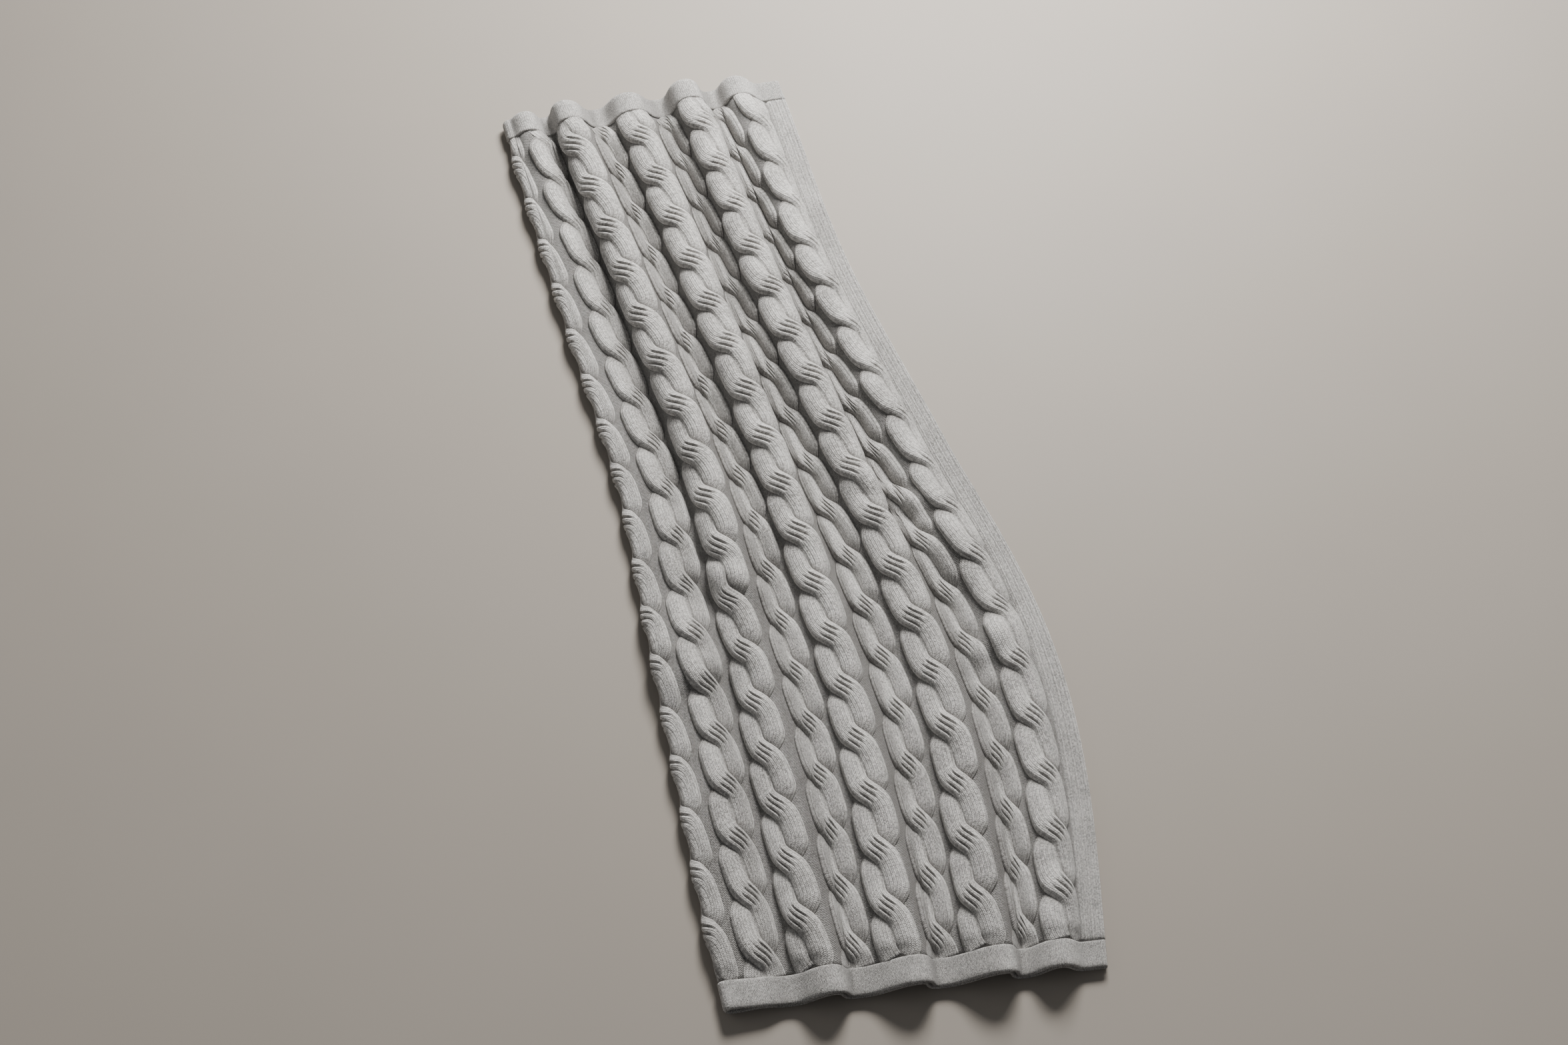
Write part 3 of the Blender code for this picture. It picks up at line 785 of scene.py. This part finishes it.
class Nodes:
    """Shader nodes, with short words for the arithmetic that a knitted pattern takes."""

    def __init__(self, material):
        material.use_nodes = True
        self.tree = material.node_tree
        self.shader = self.tree.nodes["Principled BSDF"]

    def link(self, value, socket):
        """Feed a socket from another node's output, or set it to a constant."""
        if hasattr(value, "is_output"):
            self.tree.links.new(value, socket)
        else:
            socket.default_value = value

    def add(self, kind, **settings):
        """A new node of this kind."""
        node = self.tree.nodes.new(kind)
        for key, value in settings.items():
            setattr(node, key, value)
        return node

    def math(self, operation, *values):
        """The result of one operation on these values."""
        node = self.add("ShaderNodeMath", operation=operation)
        for value, socket in zip(values, node.inputs):
            self.link(value, socket)
        return node.outputs[0]

    def flip(self, value):
        """1 less the value."""
        return self.math("SUBTRACT", 1.0, value)

    def wave(self, turns):
        """A cosine wave between 0 and 1 that is highest at each whole number."""
        angle = self.math("MULTIPLY", turns, 2 * math.pi)
        return self.math("MULTIPLY_ADD", self.math("COSINE", angle), 0.5, 0.5)

    def ramp(self, value, low, high):
        """0 below low and 1 above high, with a smooth step between."""
        node = self.add("ShaderNodeMapRange", interpolation_type="SMOOTHSTEP")
        for v, socket in zip((value, low, high, 0.0, 1.0), node.inputs):
            self.link(v, socket)
        return node.outputs[0]

    def band(self, value, start, full, ending, end):
        """1 between full and ending, falling softly to 0 at start and end."""
        return self.math("MULTIPLY", self.ramp(value, start, full), self.flip(self.ramp(value, ending, end)))

    def blend(self, share, one, other):
        """A number between one and the other."""
        return self.math("ADD", one, self.math("MULTIPLY", share, self.math("SUBTRACT", other, one)))

    def noise(self, scale, detail, roughness):
        """Soft noise that stays in place on the piece."""
        place = self.add("ShaderNodeTexCoord").outputs["Object"]
        node = self.add("ShaderNodeTexNoise")
        self.link(place, node.inputs["Vector"])
        node.inputs["Scale"].default_value = scale
        node.inputs["Detail"].default_value = detail
        node.inputs["Roughness"].default_value = roughness
        return node.outputs[0]

    def mix(self, share, one, other):
        """A colour between one and the other: the node's colours are its inputs 6 and 7 and output 2."""
        node = self.add("ShaderNodeMix", data_type="RGBA")
        self.link(share, node.inputs[0])
        self.link(one, node.inputs[6])
        self.link(other, node.inputs[7])
        return node.outputs[2]

    def finish(self, colour, settings):
        """The shader's colour, and how its surface takes the light."""
        self.link(colour, self.shader.inputs["Base Color"])
        for name, value in settings.items():
            self.shader.inputs[name].default_value = value


def plain_stitch(n, wale, course):
    """Columns of small slanted loops that meet in Vs: the height, and how deep a gap each point is in, which
    the wool paints with shade.
    """
    off = n.math("MULTIPLY", n.math("ABSOLUTE", n.math("SUBTRACT", n.math("FRACT", wale), 0.5)), 2.0)
    loop = n.wave(n.math("ADD", course, n.math("MULTIPLY", off, SLANT)))
    loop = n.math("MULTIPLY_ADD", loop, LOOP_ROUND, 1 - LOOP_ROUND)
    leg = n.math("SINE", n.math("MULTIPLY", off, math.pi))
    leg = n.math("MULTIPLY_ADD", leg, LEG_ROUND, 1 - LEG_ROUND)
    between = n.ramp(off, BETWEEN, 1.0)
    dot = n.math("MULTIPLY", between, n.wave(n.math("ADD", course, DOT_TURN)))
    gap = n.math("MULTIPLY_ADD", dot, DOT_SHARE, n.math("MULTIPLY", between, 1 - DOT_SHARE))
    return n.math("SUBTRACT", n.math("MULTIPLY", leg, loop), n.math("MULTIPLY", gap, GAP_FALL)), gap


def strand_stitch(n, wale, course):
    """Plain knit, with a rolled wale along each side of the strand and a groove inside it."""
    height, gap = plain_stitch(n, wale, course)
    out = n.math("ABSOLUTE", n.math("SUBTRACT", wale, WALES / 2))
    rolled = n.band(out, *ROLLED)
    groove = n.band(out, *GROOVE)
    height = n.math("SUBTRACT", height, n.math("MULTIPLY", groove, GROOVE_FALL))
    height = n.math("MULTIPLY_ADD", rolled, ROLLED_RISE, height)
    gap = n.math("MULTIPLY", gap, n.flip(rolled))
    return height, n.math("MAXIMUM", gap, n.math("MULTIPLY", groove, GROOVE_GAP))


def purl_stitch(n, wale, course):
    """Short wavy ridges across the cloth, with gaps between them that the wool paints with shade."""
    sway = n.math("SINE", n.math("MULTIPLY", wale, 2 * math.pi))
    ridge = n.wave(n.math("ADD", course, n.math("MULTIPLY", sway, SWAY)))
    return ridge, n.flip(n.ramp(ridge, *PURL_GAP))


def ground_stitch(n, wale, course):
    """Purl between the cables, and the plain knit of the side bands beyond them."""
    plain_height, plain_gap = plain_stitch(n, wale, course)
    purl_height, purl_gap = purl_stitch(n, wale, course)
    edge = SIDE_SEAM / WALE
    band = n.ramp(n.math("ABSOLUTE", wale), edge - BAND_BLEND, edge + BAND_BLEND)
    gap = n.blend(band, purl_gap, plain_gap)
    paler = n.flip(n.math("MULTIPLY", band, 1 - BAND_GAP))
    return n.blend(band, purl_height, plain_height), n.math("MULTIPLY", gap, paler)


def wool(name, stitch, depth, gap_painted_shade):
    """Heathered wool in one kind of stitch, which stands out by this depth, with painted shade this dark in
    its gaps, and painted shade where the piece's stored shade says less light comes.
    """
    material = bpy.data.materials.new(name)
    n = Nodes(material)
    uv = n.add("ShaderNodeUVMap", uv_map="Stitch")
    split = n.add("ShaderNodeSeparateXYZ")
    n.link(uv.outputs[0], split.inputs[0])
    wale, course, _ = split.outputs
    height, gap = stitch(n, wale, course)

    # Each leg of each loop has a tone of its own, under the fibres' and the cloth's slow clouds.
    leg = n.add("ShaderNodeCombineXYZ")
    n.link(n.math("FLOOR", n.math("MULTIPLY", wale, 2.0)), leg.inputs[0])
    n.link(n.math("FLOOR", course), leg.inputs[1])
    own_tone = n.add("ShaderNodeTexWhiteNoise", noise_dimensions="2D")
    n.link(leg.outputs[0], own_tone.inputs["Vector"])
    fibres = n.ramp(n.noise(**FIBRES), *FIBRE_RANGE)
    clouds = n.ramp(n.noise(**CLOUDS), *CLOUD_RANGE)
    tone = n.math("MULTIPLY_ADD", fibres, FIBRE_SHARE, n.math("MULTIPLY", clouds, CLOUD_SHARE))
    tone = n.math("MULTIPLY_ADD", own_tone.outputs[0], LOOP_SHARE, tone)
    heather = n.mix(n.ramp(tone, *HEATHER_RANGE), DARK_WOOL, LIGHT_WOOL)

    # Painted shade: the colour is mixed towards GAP_SHADE by the shade stored on the piece and by the
    # stitches' gaps.
    painted_shade = n.add("ShaderNodeAttribute", attribute_name="PaintedShade").outputs["Fac"]
    lit = n.math("MULTIPLY_ADD", painted_shade, -PAINTED_SHADE_DARKNESS, 1.0)
    lit = n.math("MULTIPLY", lit, n.math("MULTIPLY_ADD", gap, -gap_painted_shade, 1.0))
    n.finish(n.mix(n.flip(lit), heather, GAP_SHADE), WOOL_FINISH)

    bump = n.add("ShaderNodeBump")
    bump.inputs["Strength"].default_value = 1.0
    bump.inputs["Distance"].default_value = depth
    fuzzy = n.math("ADD", height, n.math("MULTIPLY", n.noise(**FUZZ), FUZZ_HEIGHT))
    n.link(fuzzy, bump.inputs["Height"])
    n.link(bump.outputs[0], n.shader.inputs["Normal"])
    return material


# The studio


def add_floor():
    """A wide, pale, matt floor with faint clouds in it."""
    material = bpy.data.materials.new("floor_finish")
    n = Nodes(material)
    darker = (*(FLOOR_MARBLING * c for c in FLOOR[:3]), 1.0)
    n.finish(n.mix(n.noise(**FLOOR_CLOUDS), FLOOR, darker), FLOOR_FINISH)
    bpy.ops.mesh.primitive_plane_add(size=FLOOR_SIZE)
    floor = bpy.context.object
    floor.name = "floor"
    floor.data.materials.append(material)


def add_light(name, kind, place, power, colour):
    """A light that points at the middle of the throw."""
    light = bpy.data.lights.new(name, kind)
    light.energy = power
    light.color = colour
    lamp = bpy.data.objects.new(name, light)
    bpy.context.scene.collection.objects.link(lamp)
    lamp.location = place
    lamp.rotation_mode = "QUATERNION"
    lamp.rotation_quaternion = (-Vector(place)).to_track_quat("-Z", "Y")
    return light


def add_studio():
    """A pale floor, and soft light from the far right, the left and above the far end."""
    add_floor()
    add_light("key", **KEY).angle = math.radians(KEY_ANGLE)
    add_light("side", **SIDE).angle = math.radians(SIDE_ANGLE)
    add_light("overhead", **OVERHEAD).shadow_soft_size = OVERHEAD_RADIUS
    world = bpy.data.worlds.new("room")
    world.use_nodes = True
    sky = world.node_tree.nodes["Background"]
    sky.inputs["Color"].default_value = ROOM
    sky.inputs["Strength"].default_value = ROOM_POWER
    bpy.context.scene.world = world


def add_camera(azimuth, elevation, distance, target, lens):
    """A camera above the near end that looks at the target, its angles in degrees."""
    data = bpy.data.cameras.new("camera")
    data.lens = lens
    camera = bpy.data.objects.new("camera", data)
    bpy.context.scene.collection.objects.link(camera)
    a, e = math.radians(azimuth), math.radians(elevation)
    back = Vector((math.sin(a) * math.cos(e), -math.cos(a) * math.cos(e), math.sin(e)))
    camera.location = Vector(target) + back * distance
    camera.rotation_mode = "QUATERNION"
    camera.rotation_quaternion = (-back).to_track_quat("-Z", "Y")
    bpy.context.scene.camera = camera


def main():
    """The dressed throw in its studio."""
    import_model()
    laid = Laid()
    strand_wool = wool("strand_stitch", strand_stitch, **STRAND_KNIT)
    ground_wool = wool("ground_stitch", ground_stitch, **GROUND_KNIT)
    band_wool = wool("band_stitch", plain_stitch, **BAND_KNIT)

    ground = add_ground(laid, ground_wool)
    bands = [
        add_end_band(laid, "near_band", "near_end_band", 0, 1, band_wool),
        add_end_band(laid, "far_band", "far_end_band", THROW_LENGTH, -1, band_wool),
    ]
    cables = [
        add_cables(laid, f"cable_{k}", [k], STRAND_W, RING_STEP, False, strand_wool)
        for k in range(WHOLE_CABLES + 1)
    ]
    under = range(1, WHOLE_CABLES + 1)
    cables.append(add_cables(laid, "lower_cables", under, LOWER_W, LOWER_RING_STEP, True, strand_wool))

    add_studio()
    add_camera(**CAMERA)


main()
